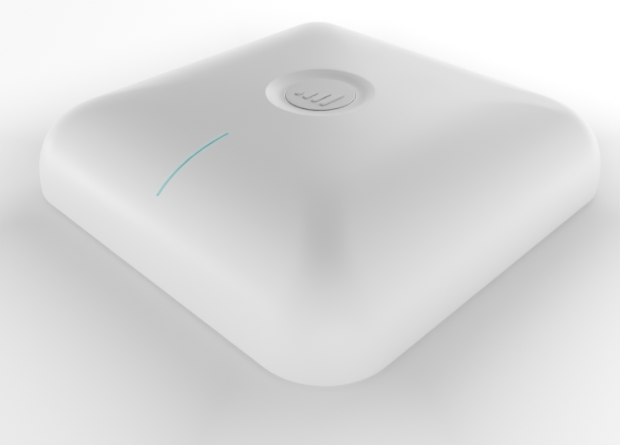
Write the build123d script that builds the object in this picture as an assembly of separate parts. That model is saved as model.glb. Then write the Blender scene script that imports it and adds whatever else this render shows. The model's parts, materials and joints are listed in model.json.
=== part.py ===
from build123d import *
import math
import os

os.makedirs("parts", exist_ok=True)

# A ceiling access point. Millimetres. z = 0 is the back face of the mounting plate (the ceiling plane),
# +Z points into the room, -Y is the side that carries the light bar, +Y the side with the cable bay.

# ---- driving sizes: the case ------------------------------------------------------------------
BODY_WIDTH = 155.0  # outside width and depth at the bottom edge of the cover
COVER_HEIGHT = 34.9  # bottom edge of the cover to the top of its crown, before the dish is cut
STANDOFF = 0.8  # gap between the ceiling plane and the bottom edge of the cover
CORNER_R = 22.6  # plan corner radius at the bottom edge
CORNER_SHRINK = 1.19  # corner radius lost per mm of inward run, right at the edge
CORNER_MIN_RUN = 23.0  # inward run at which the corner radius is smallest
SHOULDER_RUN = 39.0  # inward run from the side to where the shoulder meets the crown
SIDE_HANDLE = 7.0  # length of the shoulder curve's handle up the side
CROWN_HANDLE = 38.6  # length of its handle along the crown
SIDE_LEAN = 0.1  # how far that handle leans inward
CROWN = 0.68  # rise of the crown from the shoulder to the middle
WALL = 2.0  # cover wall
DISH_R = 18.3  # radius of the dish's lip
DISH_FLOOR_R = 12.3  # radius where the bowl of the dish meets its floor
DISH_DEPTH = 1.5  # lip down to the dish floor
DISH_BACKING = 2.4  # material left under the badge seat
BADGE_R = 12.0  # seat for the badge disc
BADGE_T = 1.2
BADGE_SEAT = 0.9
MARK_RELIEF = 0.5
SLOT_W = 1.2  # light slot
SLOT_Y0 = -68.5
SLOT_Y1 = -40.2

# ---- driving sizes: the back of the case and the mounting plate ---------------------------------
PLATE_R = 56.0
PLATE_T = 1.5
FLOOR_T = 2.0
LIP_H = 7.0
LIP_T = 1.6
HEAD_ROOM = 3.1  # room over the plate for the heads of the ceiling screws
SCREW_SPACING = 48.0  # square pattern of the ceiling screws
SCREW_HOLE_R = 2.25
BOX_SPACING = 60.0  # two slots for a wall box
BOX_SLOT_L = 8.0
NOTCH_W = 34.0
RIB_R = 17.0  # pressed ring that stiffens the plate: middle radius, width, height
RIB_W = 5.0
RIB_H = 0.8
RIB_SLIM = 0.7  # the groove on the back is narrower than the rib, each side
STUD_CIRCLE_R = 49.0
STUD_ANGLES = (30.0, 150.0, 210.0, 330.0)
TWIST = 14.0  # degrees of twist from locked to free
NECK_R = 2.0
HEAD_R = 3.5
HEAD_T = 1.2
BAY_W = 28.0
BAY_Y0 = 26.0
BAY_Y1 = 66.0
BAY_WALL = 1.6

# ---- driving sizes: electronics ---------------------------------------------------------------
BOARD_MARGIN = 20.5  # side of the case to the edge of the board
BOARD_T = 1.6
BOARD_CORNER_R = 4.0
BOARD_POST_INSET = 7.0
CASE_SCREW_INSET = 17.5
JACK_W = 16.0
JACK_H = 13.5
JACK_L = 21.5
JACK_SHEET = 0.3
PAD_T = 1.0
SINK_T = 2.5
ANTENNA_H = 5.1
LED_YS = (-44.0, -50.0, -56.0)
BUTTON_R = 1.9
BUTTON_X = 11.0
BUTTON_TRAVEL = 0.5

# ---- clearances -------------------------------------------------------------------------------
FIT = 0.1  # still parts that sit in one another, each side
LIP_CLEAR = 0.2  # tray inside the cover
TURN_CLEAR = 0.3  # between parts that turn past one another
THREAD_CLEAR = 0.05  # screw shank in its drawn hole
BUTTON_CLEAR = 0.3  # button in its hole
LAYER_CLEAR = 0.4  # between stacked inner parts

# ---- heights worked out from the sizes above ----------------------------------------------------
HALF = BODY_WIDTH / 2
LAND_Z0 = PLATE_T + TURN_CLEAR
LAND_Z1 = LAND_Z0 + FLOOR_T
FLOOR_Z1 = STANDOFF + FLOOR_T
HEAD_Z0 = LAND_Z1 + TURN_CLEAR
HEAD_Z1 = HEAD_Z0 + HEAD_T
DISC_Z0 = PLATE_T + HEAD_ROOM
DISC_Z1 = DISC_Z0 + FLOOR_T
JACK_Z0 = DISC_Z1 + LAYER_CLEAR
BOARD_Z0 = JACK_Z0 + JACK_H
BOARD_Z1 = BOARD_Z0 + BOARD_T
BAY_ROOF_Z1 = BOARD_Z0 - 0.7
BAY_ROOF_Z0 = BAY_ROOF_Z1 - BAY_WALL
BOARD_HALF = HALF - BOARD_MARGIN
POST_XY = BOARD_HALF - BOARD_POST_INSET
CASE_XY = HALF - CASE_SCREW_INSET
RECESS_R = PLATE_R + 0.6
RING_IN_R = STUD_CIRCLE_R - HEAD_R - 2.5
CAVITY_R = RING_IN_R - FLOOR_T
LED_TOP = BOARD_Z1 + 1.1
GUIDE_Z0 = LED_TOP + 0.3
CROWN_HALF = HALF - SHOULDER_RUN
SHOULDER_Z = COVER_HEIGHT - CROWN
CROWN_SHARES = (0.86, 0.71, 0.57, 0.43, 0.29, 0.18)  # half widths of the crown's sections over CROWN_HALF


# ---- helpers ----------------------------------------------------------------------------------
def box(x0, x1, y0, y1, z0, z1):
    size = Box(x1 - x0, y1 - y0, z1 - z0)
    return Pos((x0 + x1) / 2, (y0 + y1) / 2, (z0 + z1) / 2) * size


def rod(x, y, z0, z1, r):
    return Pos(x, y, (z0 + z1) / 2) * Cylinder(r, z1 - z0)


def tablet(x, y, z0, z1, w, d, r):
    plane = Plane.XY.offset(z0)
    return Pos(x, y, 0) * extrude(plane * RectangleRounded(w, d, r), amount=z1 - z0)


def polar(radius, degrees):
    a = math.radians(degrees)
    return radius * math.cos(a), radius * math.sin(a)


def group(solids):
    return Compound(children=list(solids))


def save(shape, node):
    export_step(shape, "parts/" + node + ".step")


def pan_screw(x, y, z_seat, shank_end, shank_r, head_r, head_t, up):
    # head on the side "up" points to (+1 or -1), shank the other way, with a cross recess
    z_head = z_seat + up * head_t
    shank = rod(x, y, min(z_seat, shank_end), max(z_seat, shank_end), shank_r)
    head = rod(x, y, min(z_seat, z_head), max(z_seat, z_head), head_r)
    rim = head.edges().group_by(Axis.Z)[-1 if up > 0 else 0]
    head = fillet(rim, head_t * 0.3)
    deep = z_head - up * head_t * 0.55
    z0 = min(deep, z_head + up)
    z1 = max(deep, z_head + up)
    arm = head_r * 0.6
    slim = head_r * 0.13
    cross = box(x - arm, x + arm, y - slim, y + slim, z0, z1)
    cross += box(x - slim, x + slim, y - arm, y + arm, z0, z1)
    return shank + head - cross


# ---- the pillow: the outside of the case, or the same surface moved inward ------------------------
def crown_z(a):
    return COVER_HEIGHT - CROWN * (a / CROWN_HALF) ** 2


def corner_r(run):
    # the corners tighten over the shoulder and open out again towards the dish
    r = CORNER_R - CORNER_SHRINK * (run - run**2 / (2 * CORNER_MIN_RUN))
    return min(r, 0.72 * (HALF - run))


def shoulder_point(t):
    # run inward, height, and the inward normal of the shoulder's cubic curve
    slope = 2 * CROWN / CROWN_HALF
    p = (
        (0.0, 0.0),
        (SIDE_LEAN, SIDE_HANDLE),
        (SHOULDER_RUN - CROWN_HANDLE, SHOULDER_Z - CROWN_HANDLE * slope),
        (SHOULDER_RUN, SHOULDER_Z),
    )
    u = 1 - t
    run = 3 * u * u * t * p[1][0] + 3 * u * t * t * p[2][0] + t**3 * p[3][0]
    rise = 3 * u * u * t * p[1][1] + 3 * u * t * t * p[2][1] + t**3 * p[3][1]
    d = [
        u * u * (p[1][i] - p[0][i]) + 2 * u * t * (p[2][i] - p[1][i]) + t * t * (p[3][i] - p[2][i])
        for i in (0, 1)
    ]
    length = math.hypot(d[0], d[1])
    return run, rise, d[1] / length, -d[0] / length


def pillow(inset):
    rows = []
    for i in range(9):
        run, rise, nx, nz = shoulder_point(i / 8)
        a = HALF - run - inset * nx
        rows.append((a, rise + inset * nz, corner_r(run) - inset * nx))
    if inset > 0:
        # an inner surface carries on below the edge, so a cut with it comes out clean
        rows.insert(0, (rows[0][0], -4.0, rows[0][2]))
    for share in CROWN_SHARES:
        a = share * CROWN_HALF
        slope = 2 * CROWN * a / CROWN_HALF**2
        length = math.hypot(1.0, slope)
        r = corner_r(HALF - a) - inset * slope / length
        rows.append((a - inset * slope / length, crown_z(a) - inset / length, r))
    sections = []
    for a, z, r in rows:
        sections.append(Plane.XY.offset(z + STANDOFF) * RectangleRounded(2 * a, 2 * a, r))
    return loft(sections)


outer_skin = pillow(0.0)
inner_skin = pillow(WALL)


# ---- mounting plate ---------------------------------------------------------------------------
def lanced_finger(angle):
    # a spring tongue along the rim: the slit round it and the dimple at its free end
    w = 3.2
    l = 8.0
    s = 0.8
    slit = box(-w - s, -w, -l, l + s, -1, PLATE_T + 1)
    slit += box(w, w + s, -l, l + s, -1, PLATE_T + 1)
    slit += box(-w, w, l, l + s, -1, PLATE_T + 1)
    bump = Pos(0, l - 3.0, PLATE_T + 0.2 - 6.0) * Sphere(6.0)
    bump &= box(-w, w, 0, l, PLATE_T - 0.2, PLATE_T + 1)
    place = Rot(0, 0, angle) * Pos(STUD_CIRCLE_R + 0.6, 0, 0)
    return place * slit, place * bump


def rib(z0, z1, reach):
    # a ring round the middle of the plate, from reach inside its middle radius to reach outside it
    return rod(0, 0, z0, z1, RIB_R + reach) - rod(0, 0, z0 - 1, z1 + 1, RIB_R - reach)


plate = rod(0, 0, 0, PLATE_T, PLATE_R)
plate -= box(-NOTCH_W / 2, NOTCH_W / 2, BAY_Y0 - 2, PLATE_R + 5, -1, PLATE_T + 1)
notch_corners = plate.edges().filter_by(Axis.Z).filter_by_position(Axis.Y, BAY_Y0 - 3, BAY_Y0 - 1)
plate = fillet(notch_corners, 4.0)
hs = SCREW_SPACING / 2
for sx in (-1, 1):
    for sy in (-1, 1):
        plate -= rod(sx * hs, sy * hs, -1, PLATE_T + 1, SCREW_HOLE_R)
    slot = Plane.XY.offset(-1) * SlotOverall(BOX_SLOT_L, 2 * SCREW_HOLE_R)
    plate -= Pos(sx * BOX_SPACING / 2, 0, 0) * extrude(slot, amount=PLATE_T + 2)
plate += rib(PLATE_T - 1, PLATE_T + RIB_H, RIB_W / 2)
plate -= rib(-1, RIB_H, RIB_W / 2 - RIB_SLIM)
for angle in (0.0, 180.0):
    slit, bump = lanced_finger(angle)
    plate -= slit
    plate += bump
for angle in STUD_ANGLES:
    x, y = polar(STUD_CIRCLE_R, angle)
    plate -= rod(x, y, -1, PLATE_T + 1, NECK_R * 0.8)
save(plate, "mounting_plate")

studs = []
for angle in STUD_ANGLES:
    x, y = polar(STUD_CIRCLE_R, angle)
    stud = rod(x, y, 0.0, PLATE_T, NECK_R * 0.8)
    stud += rod(x, y, PLATE_T, HEAD_Z0, NECK_R)
    head = rod(x, y, HEAD_Z0, HEAD_Z1, HEAD_R)
    stud += fillet(head.edges().group_by(Axis.Z)[-1], 0.35)
    studs.append(stud)
save(group(studs), "twist_studs")


# ---- base tray --------------------------------------------------------------------------------
tray_skin = pillow(WALL + LIP_CLEAR)
tray_hollow = pillow(WALL + LIP_CLEAR + LIP_T)
big = BODY_WIDTH
tray = tray_skin & box(-big, big, -big, big, STANDOFF, STANDOFF + LIP_H)
tray -= tray_hollow & box(-big, big, -big, big, FLOOR_Z1, STANDOFF + LIP_H + 5)
tray += rod(0, 0, STANDOFF, LAND_Z1, RECESS_R + FLOOR_T)
tray += rod(0, 0, LAND_Z0, DISC_Z1, RING_IN_R)
bay_half = BAY_W / 2
bay_out = bay_half + BAY_WALL
tray += box(-bay_out, bay_out, BAY_Y0 - BAY_WALL, BAY_Y1 + BAY_WALL, STANDOFF, BAY_ROOF_Z1)

# board posts and the seats of the case screws
for sx in (-1, 1):
    for sy in (-1, 1):
        x = sx * POST_XY
        y = sy * POST_XY
        tray += rod(x, y, FLOOR_Z1 - 0.5, BOARD_Z0, 3.2)
        tray += rod(x, y, FLOOR_Z1 - 0.5, FLOOR_Z1 + 4.0, 4.4)
        tray -= rod(x, y, BOARD_Z0 - 8.0, BOARD_Z0 + 1, 1.25)
        tray += rod(sx * CASE_XY, sy * CASE_XY, STANDOFF, STANDOFF + 5.2, 5.0)
        tray -= rod(sx * CASE_XY, sy * CASE_XY, STANDOFF - 1, STANDOFF + 2.8, 3.2)
        tray -= rod(sx * CASE_XY, sy * CASE_XY, STANDOFF, STANDOFF + 6, 1.6)

# recess for the plate, room for screw heads, and the cable bay
tray -= rod(0, 0, -1, LAND_Z0, RECESS_R)
tray -= rod(0, 0, -1, DISC_Z0, CAVITY_R)
bay = box(-bay_half, bay_half, BAY_Y0, BAY_Y1, -1, BAY_ROOF_Z0)
bay = fillet(bay.edges().filter_by(Axis.Z).group_by(Axis.Y)[-1], 4.0)
tray -= bay

# keyholes: a slot for the neck, a round hole for the head at its far end
for angle in STUD_ANGLES:
    half_w = NECK_R + TURN_CLEAR
    ring = rod(0, 0, LAND_Z0 - 1, LAND_Z1 + 1, STUD_CIRCLE_R + half_w)
    ring -= rod(0, 0, LAND_Z0 - 2, LAND_Z1 + 2, STUD_CIRCLE_R - half_w)
    far = 2 * STUD_CIRCLE_R
    a0 = polar(far, angle - TWIST)
    a1 = polar(far, angle)
    wedge_face = make_face(Polyline((0, 0), a0, a1, close=True))
    wedge = extrude(Plane.XY.offset(LAND_Z0 - 3) * wedge_face, amount=FLOOR_T + 6)
    tray -= ring & wedge
    x, y = polar(STUD_CIRCLE_R, angle)
    tray -= rod(x, y, LAND_Z0 - 1, LAND_Z1 + 1, half_w)
    x, y = polar(STUD_CIRCLE_R, angle - TWIST)
    tray -= rod(x, y, LAND_Z0 - 1, LAND_Z1 + 1, HEAD_R + 0.5)

# pockets the plate's dimples click into
for angle in (0.0, 180.0):
    place = Rot(0, 0, angle)
    tray -= place * rod(STUD_CIRCLE_R + 0.6, 5.0, LAND_Z0 - 1, LAND_Z0 + 0.5, 2.4)

# window in the bay's end wall for the jack, hole for the reset button
wall_y0 = BAY_Y0 - BAY_WALL
tray -= box(-7.0, 7.0, wall_y0 - 1, BAY_Y0 + 1, JACK_Z0 + 1.0, BAY_ROOF_Z0 - 0.2)
BUTTON_Z = JACK_Z0 + 8.0
tray -= Pos(BUTTON_X, BAY_Y0 - 1, BUTTON_Z) * Rot(90, 0, 0) * Cylinder(BUTTON_R + BUTTON_CLEAR, 6)

# vents through the floor, along both sides and the light side
vent_mid = (RECESS_R + FLOOR_T + HALF - WALL - LIP_T) / 2
vent = Plane.XY.offset(STANDOFF - 1) * SlotOverall(9.0, 2.0)
vent_cut = extrude(vent, amount=FLOOR_T + 2)
for i in range(-4, 5):
    for turn in (0, 180, 270):
        tray -= Rot(0, 0, turn) * Pos(vent_mid, i * 7.0, 0) * vent_cut
save(tray, "base_tray")


# ---- top cover --------------------------------------------------------------------------------
LIP_Z = STANDOFF + crown_z(DISH_R)
DISH_Z = LIP_Z - DISH_DEPTH
SEAT_Z = DISH_Z - BADGE_SEAT

cover = outer_skin - inner_skin
backing = rod(0, 0, SEAT_Z - DISH_BACKING, LIP_Z - 0.5, DISH_R + 1.6)
cover += backing
boss_base = STANDOFF + 5.2
for sx in (-1, 1):
    for sy in (-1, 1):
        boss = rod(sx * CASE_XY, sy * CASE_XY, boss_base, STANDOFF + COVER_HEIGHT, 3.5)
        cover += boss & outer_skin
        cover -= rod(sx * CASE_XY, sy * CASE_XY, boss_base - 1, boss_base + 9.0, 1.5 + THREAD_CLEAR)
dish_mid = (DISH_FLOOR_R + DISH_R) / 2
dish_curve = Bezier((DISH_FLOOR_R, DISH_Z), (dish_mid, DISH_Z), (DISH_R, LIP_Z))
dish_lines = Polyline(
    (DISH_R, LIP_Z), (DISH_R, LIP_Z + 5), (0, LIP_Z + 5), (0, DISH_Z), (DISH_FLOOR_R, DISH_Z)
)
dish_face = make_face([Plane.XZ * dish_curve, Plane.XZ * dish_lines])
cover -= revolve(dish_face, Axis.Z)
cover -= rod(0, 0, SEAT_Z, LIP_Z + 5, BADGE_R)


def slot_solid(half_w, y0, y1, z0, z1):
    body = box(-half_w, half_w, y0 + half_w, y1 - half_w, z0, z1)
    body += rod(0, y0 + half_w, z0, z1, half_w)
    return body + rod(0, y1 - half_w, z0, z1, half_w)


slot_top = STANDOFF + COVER_HEIGHT + 2
cover -= slot_solid(SLOT_W / 2, SLOT_Y0, SLOT_Y1, GUIDE_Z0 - 4, slot_top)
save(cover, "top_cover")

badge_r = BADGE_R - FIT
badge = rod(0, 0, SEAT_Z, SEAT_Z + BADGE_T, badge_r)
badge = fillet(badge.edges().group_by(Axis.Z)[-1], 0.35)
badge_z = SEAT_Z + BADGE_T
for i in range(4):
    bar_h = 3.0 + 2.6 * i
    x = -5.7 + 3.8 * i
    badge += tablet(x, -5.4 + bar_h / 2, badge_z - 0.2, badge_z + MARK_RELIEF, 2.4, bar_h, 0.9)
save(badge, "badge_disc")


# ---- light bar --------------------------------------------------------------------------------
half_w = SLOT_W / 2 - THREAD_CLEAR
blade = slot_solid(half_w, SLOT_Y0 + THREAD_CLEAR, SLOT_Y1 - THREAD_CLEAR, GUIDE_Z0, slot_top)
blade &= outer_skin
blade -= pillow(WALL + 1.0)
guide_skin = pillow(WALL + FIT)
guide = box(-2.0, 2.0, SLOT_Y0 + 3.0, SLOT_Y1 - 1.5, GUIDE_Z0, slot_top) & guide_skin
save(blade + guide, "light_pipe")

holder_skin = pillow(WALL + 1.0 + FIT)
holder_y0 = SLOT_Y0 + 1.6
holder_y1 = SLOT_Y1 - 0.1
holder = box(-3.4, 3.4, holder_y0, holder_y1, BOARD_Z1, slot_top) & holder_skin
holder -= box(-2.1, 2.1, SLOT_Y0 + 2.9, SLOT_Y1 - 1.4, BOARD_Z1 - 1, slot_top)
save(holder, "light_guide_holder")

leds = []
for y in LED_YS:
    led = box(-0.8, 0.8, y - 1.6, y + 1.6, BOARD_Z1, BOARD_Z1 + 0.7)
    led += tablet(0, y, BOARD_Z1 + 0.7, LED_TOP, 1.3, 2.4, 0.3)
    leds.append(led)
save(group(leds), "status_leds")


# ---- main board -------------------------------------------------------------------------------
board_w = 2 * BOARD_HALF
board = tablet(0, 0, BOARD_Z0, BOARD_Z1, board_w, board_w, BOARD_CORNER_R)
SINK_XY = ((-44.0, -44.0), (44.0, -44.0), (-44.0, -4.0), (44.0, -4.0))
for sx in (-1, 1):
    for sy in (-1, 1):
        board -= rod(sx * POST_XY, sy * POST_XY, BOARD_Z0 - 1, BOARD_Z1 + 1, 1.4)
for x, y in SINK_XY:
    board -= rod(x, y, BOARD_Z0 - 1, BOARD_Z1 + 1, 1.3)
save(board, "main_board")

screws = []
for sx in (-1, 1):
    for sy in (-1, 1):
        x = sx * POST_XY
        y = sy * POST_XY
        screws.append(pan_screw(x, y, BOARD_Z1, BOARD_Z0 - 6.5, 1.25 - THREAD_CLEAR, 2.4, 1.6, 1))
save(group(screws), "board_screws")

screws = []
for sx in (-1, 1):
    for sy in (-1, 1):
        x = sx * CASE_XY
        y = sy * CASE_XY
        screws.append(pan_screw(x, y, STANDOFF + 2.8, boss_base + 7.5, 1.5, 2.8, 2.0, -1))
save(group(screws), "case_screws")


# ---- chips and shield cans on the room side of the board ------------------------------------------
def chip(x, y, w, d, h):
    body = box(x - w / 2, x + w / 2, y - d / 2, y + d / 2, BOARD_Z1, BOARD_Z1 + h)
    dot = rod(x - w / 2 + w * 0.14, y + d / 2 - w * 0.14, BOARD_Z1 + h - 0.1, BOARD_Z1 + h + 1, w * 0.05)
    return body - dot


def can(x, y, w, d, h):
    # folded sheet with a lid, open below, holes in the lid
    t = 0.25
    shell = tablet(x, y, BOARD_Z1, BOARD_Z1 + h, w, d, 1.2)
    shell -= tablet(x, y, BOARD_Z1 - 1, BOARD_Z1 + h - t, w - 2 * t, d - 2 * t, 0.95)
    nx = int((w - 6) // 5)
    ny = int((d - 6) // 5)
    for i in range(nx):
        for j in range(ny):
            hx = x + (i - (nx - 1) / 2) * 5.0
            hy = y + (j - (ny - 1) / 2) * 5.0
            shell -= rod(hx, hy, BOARD_Z1 + h - 1, BOARD_Z1 + h + 1, 0.8)
    return shell


save(chip(0, -10, 17, 17, 1.4), "processor_chip")
save(group([chip(-14.5, 3.5, 9, 13, 1.1), chip(14.5, 3.5, 9, 13, 1.1)]), "memory_chips")
save(chip(0, 9.5, 6, 5, 1.2), "flash_chip")
save(can(0, -3.5, 46, 36, 3.2), "processor_shield")
save(group([chip(-36, 18, 9, 9, 0.9), chip(36, 18, 9, 9, 0.9)]), "radio_chips")
save(can(-35, 20, 20, 26, 2.6), "radio_shield_24")
save(can(35, 20, 20, 26, 2.6), "radio_shield_5")
crystals = [tablet(x, 27.5, BOARD_Z1, BOARD_Z1 + 0.8, 3.2, 2.5, 0.4) for x in (-36, 36)]
save(group(crystals), "crystals")


# ---- stamped antennas -------------------------------------------------------------------------
def stamped_antenna(x, y, turn, length, width, slot_l):
    # a folded strip: raised plate with a slot, a shorting wall at one end and a feed leg
    t = 0.4
    z1 = BOARD_Z1 + ANTENNA_H
    body = box(-width / 2, width / 2, -length / 2, length / 2, z1 - t, z1)
    body -= box(-width / 2 - 1, width / 2 - 2.2, -slot_l / 2, -slot_l / 2 + 1.2, z1 - 1, z1 + 1)
    body -= box(-width / 2 + 2.0, width / 2 + 1, slot_l / 2 - 1.2, slot_l / 2, z1 - 1, z1 + 1)
    body += box(-width / 2, width / 2, -length / 2, -length / 2 + t, BOARD_Z1, z1)
    body += box(width / 2 - t, width / 2, -length / 2 + 4.0, -length / 2 + 6.0, BOARD_Z1, z1)
    body += box(-width / 2, width / 2, -length / 2, -length / 2 + 2.0, BOARD_Z1, BOARD_Z1 + t)
    return Pos(x, y, 0) * Rot(0, 0, turn) * body


ax = BOARD_HALF - 6.0
save(stamped_antenna(-ax, -22, 0, 26, 8, 14), "antenna_24_left")
save(stamped_antenna(ax, -22, 0, 26, 8, 14), "antenna_24_right")
save(stamped_antenna(-22, BOARD_HALF - 6.5, 90, 17, 7, 9), "antenna_5_left")
save(stamped_antenna(22, BOARD_HALF - 6.5, -90, 17, 7, 9), "antenna_5_right")
save(box(20.0, 26.5, -54.5, -52.5, BOARD_Z1, BOARD_Z1 + 1.0), "bluetooth_antenna")


# ---- heat sink under the board ----------------------------------------------------------------
SINK_Z1 = BOARD_Z0 - PAD_T
SINK_Z0 = SINK_Z1 - SINK_T
sink_y0 = -47.5
sink_y1 = -0.5
sink = box(-47.5, 47.5, sink_y0, sink_y1, SINK_Z0, SINK_Z1)
for i in range(-7, 8):
    sink += box(i * 5.0 - 0.7, i * 5.0 + 0.7, sink_y0 + 6, sink_y1 - 6, DISC_Z1 + 1.6, SINK_Z0)
for x, y in SINK_XY:
    sink += rod(x, y, SINK_Z1, BOARD_Z0, 2.4)
    sink -= rod(x, y, SINK_Z0 - 1, BOARD_Z0 + 1, 1.05 + THREAD_CLEAR)
save(sink, "heat_sink")
pads = [
    box(-12, 12, -22, -2, SINK_Z1, BOARD_Z0),
    box(-38, -18, -30, -8, SINK_Z1, BOARD_Z0),
    box(18, 38, -30, -8, SINK_Z1, BOARD_Z0),
]
save(group(pads), "thermal_pads")
screws = [pan_screw(x, y, BOARD_Z1, SINK_Z0 + 0.4, 1.05, 2.0, 1.4, 1) for x, y in SINK_XY]
save(group(screws), "heat_sink_screws")


# ---- network jack -----------------------------------------------------------------------------
jack_y1 = wall_y0 - 0.2
jack_y0 = jack_y1 - JACK_L
jw = JACK_W / 2
s = JACK_SHEET
shell = box(-jw, jw, jack_y0, jack_y1, JACK_Z0, BOARD_Z0)
shell -= box(-jw + s, jw - s, jack_y0 + s, jack_y1 + 1, JACK_Z0 + s, BOARD_Z0 + 1)
save(shell, "jack_shell")

g = s + THREAD_CLEAR
body = box(-jw + g, jw - g, jack_y0 + g, jack_y1, JACK_Z0 + g, BOARD_Z0)
cavity_back = jack_y1 - 15.0
plug_z0 = JACK_Z0 + 3.6
plug_z1 = plug_z0 + 6.8
body -= box(-5.95, 5.95, cavity_back, jack_y1 + 1, plug_z0, plug_z1)
body -= box(-3.2, 3.2, cavity_back, jack_y1 + 1, plug_z0 - 1.4, plug_z0 + 1)
body -= box(-2.0, 2.0, cavity_back, jack_y1 + 1, plug_z0 - 2.1, plug_z0)
save(body, "jack_body")

contacts = []
for i in range(8):
    x = (i - 3.5) * 1.02
    wire = make_face(
        Polyline(
            (jack_y1 - 3.6, plug_z1),
            (jack_y1 - 5.0, plug_z1),
            (cavity_back + 1.4, plug_z1 - 2.0),
            (cavity_back + 1.6, plug_z1 - 2.4),
            (jack_y1 - 4.6, plug_z1 - 0.5),
            close=True,
        )
    )
    contacts.append(Pos(x - 0.22, 0, 0) * extrude(Plane.YZ * wire, amount=0.44))
save(group(contacts), "jack_contacts")


# ---- power and network parts under the board ------------------------------------------------------
def under(x, y, w, d, h, r):
    return tablet(x, y, BOARD_Z0 - h, BOARD_Z0, w, d, r)


save(under(19.0, 9.0, 14, 12, 5.5, 0.8), "lan_transformer")
core = under(-19.5, 9.0, 15, 12, 9.0, 1.0)
core -= box(-24.0, -15.0, 2.0, 5.4, BOARD_Z0 - 10, BOARD_Z0 - 2.0)
core -= box(-24.0, -15.0, 12.6, 16.0, BOARD_Z0 - 10, BOARD_Z0 - 2.0)
save(core, "poe_transformer")
coils = []
for x, y in ((-36.0, 8.0), (-36.0, 22.0)):
    coil = under(x, y, 10, 10, 4.5, 1.5)
    coil -= rod(x, y, BOARD_Z0 - 5, BOARD_Z0 - 4.1, 3.2)
    coils.append(coil)
save(group(coils), "power_inductors")
cans = []
for x, y in ((33.0, 7.0), (33.0, 18.0), (-24.0, 24.0)):
    can_body = rod(x, y, BOARD_Z0 - 10.5, BOARD_Z0 - 0.6, 4.0)
    can_body = fillet(can_body.edges().group_by(Axis.Z)[0], 0.5)
    can_body += box(x - 4.2, x + 4.2, y - 4.2, y + 4.2, BOARD_Z0 - 0.6, BOARD_Z0)
    cans.append(can_body)
save(group(cans), "capacitors")
bridges = [under(x, y, 7, 6, 2.4, 0.4) for x, y in ((-36.0, 34.0), (-24.0, 34.0))]
save(group(bridges), "bridge_rectifiers")


# ---- reset switch and button ------------------------------------------------------------------
stem_end = wall_y0 - 1.6
switch = box(BUTTON_X - 2.6, BUTTON_X + 2.6, stem_end - 4.6, stem_end - 0.6, BUTTON_Z - 2.4, BOARD_Z0)
switch += Pos(BUTTON_X, stem_end - 0.7, BUTTON_Z) * Rot(90, 0, 0) * Cylinder(1.1, 1.4)
save(switch, "reset_switch")

flange_y1 = wall_y0 - 0.15
flange_y0 = stem_end + BUTTON_TRAVEL + 0.05
button_y1 = BAY_Y0 + 1.0
stem = Pos(BUTTON_X, (flange_y0 + button_y1) / 2, BUTTON_Z) * Rot(90, 0, 0)
button = stem * Cylinder(BUTTON_R, button_y1 - flange_y0)
button = fillet(button.edges().group_by(Axis.Y)[-1], 0.4)
flange = Pos(BUTTON_X, (flange_y0 + flange_y1) / 2, BUTTON_Z) * Rot(90, 0, 0)
button += flange * Cylinder(BUTTON_R + 0.8, flange_y1 - flange_y0)
save(button, "reset_button")
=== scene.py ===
# %% [markdown]
# # A ceiling access point
# A square, pillow-shaped box of matt white plastic with a shallow round dish on its crown and one thin line of
# light running up the middle of a side. Nearly all that the eye meets is one moulded shell, so nearly all of
# the work is in that shell: its curve has to be smooth, its plastic has to look moulded and not painted, and
# the light has to lie in it like a real light guide. The parts of the back and the inside come from the
# engineering model and get their finishes here.

# %% Load the model
import json
import math

import bpy
import numpy as np
from mathutils import Matrix, Vector


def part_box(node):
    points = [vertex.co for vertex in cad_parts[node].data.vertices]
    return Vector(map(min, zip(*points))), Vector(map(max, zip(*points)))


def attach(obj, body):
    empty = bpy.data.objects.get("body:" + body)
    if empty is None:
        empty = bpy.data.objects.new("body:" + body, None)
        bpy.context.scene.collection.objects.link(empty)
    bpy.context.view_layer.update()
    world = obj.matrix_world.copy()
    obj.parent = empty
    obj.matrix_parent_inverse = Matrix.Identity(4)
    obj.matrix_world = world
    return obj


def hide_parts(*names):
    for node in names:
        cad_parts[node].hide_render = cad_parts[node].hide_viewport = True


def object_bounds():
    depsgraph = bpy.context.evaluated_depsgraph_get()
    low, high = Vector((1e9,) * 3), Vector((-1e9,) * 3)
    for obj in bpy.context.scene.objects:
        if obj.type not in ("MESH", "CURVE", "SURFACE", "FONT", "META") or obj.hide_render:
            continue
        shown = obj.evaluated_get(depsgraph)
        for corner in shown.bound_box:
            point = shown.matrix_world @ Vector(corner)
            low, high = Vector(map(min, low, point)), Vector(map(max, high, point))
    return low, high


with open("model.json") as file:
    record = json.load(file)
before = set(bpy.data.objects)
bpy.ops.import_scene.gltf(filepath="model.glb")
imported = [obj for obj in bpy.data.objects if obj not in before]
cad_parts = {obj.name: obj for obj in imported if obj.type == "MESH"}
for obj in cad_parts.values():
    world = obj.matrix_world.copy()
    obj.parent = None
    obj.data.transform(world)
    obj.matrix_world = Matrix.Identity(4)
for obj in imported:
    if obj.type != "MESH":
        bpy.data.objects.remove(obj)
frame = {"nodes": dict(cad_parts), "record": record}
cad_lo, cad_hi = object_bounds()
MM = 0.001
print("nodes", len(frame["nodes"]), "size mm", [round(v / MM, 2) for v in cad_hi - cad_lo])

# %% [markdown]
# ## The numbers that the shell is drawn from
# The shell's size comes from the model: half its width, the height of its edge above the ceiling plane and the
# place of the slot. The curve itself is repeated here in millimetres, because the shell is drawn again as a
# finer surface: a handful of lengths says how far the shoulder runs in, how high the crown rises, and how the
# plan corners shrink on the way up.

# %% Sizes
cover_lo, cover_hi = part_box("top_cover")
bar_lo, bar_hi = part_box("light_pipe")
disc_lo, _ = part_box("badge_disc")
HALF = (cover_hi.x - cover_lo.x) / 2 / MM
EDGE_Z = cover_lo.z / MM
BAR_START = bar_lo.y / MM
BAR_END = bar_hi.y / MM
SEAT_Z = disc_lo.z / MM

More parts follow.
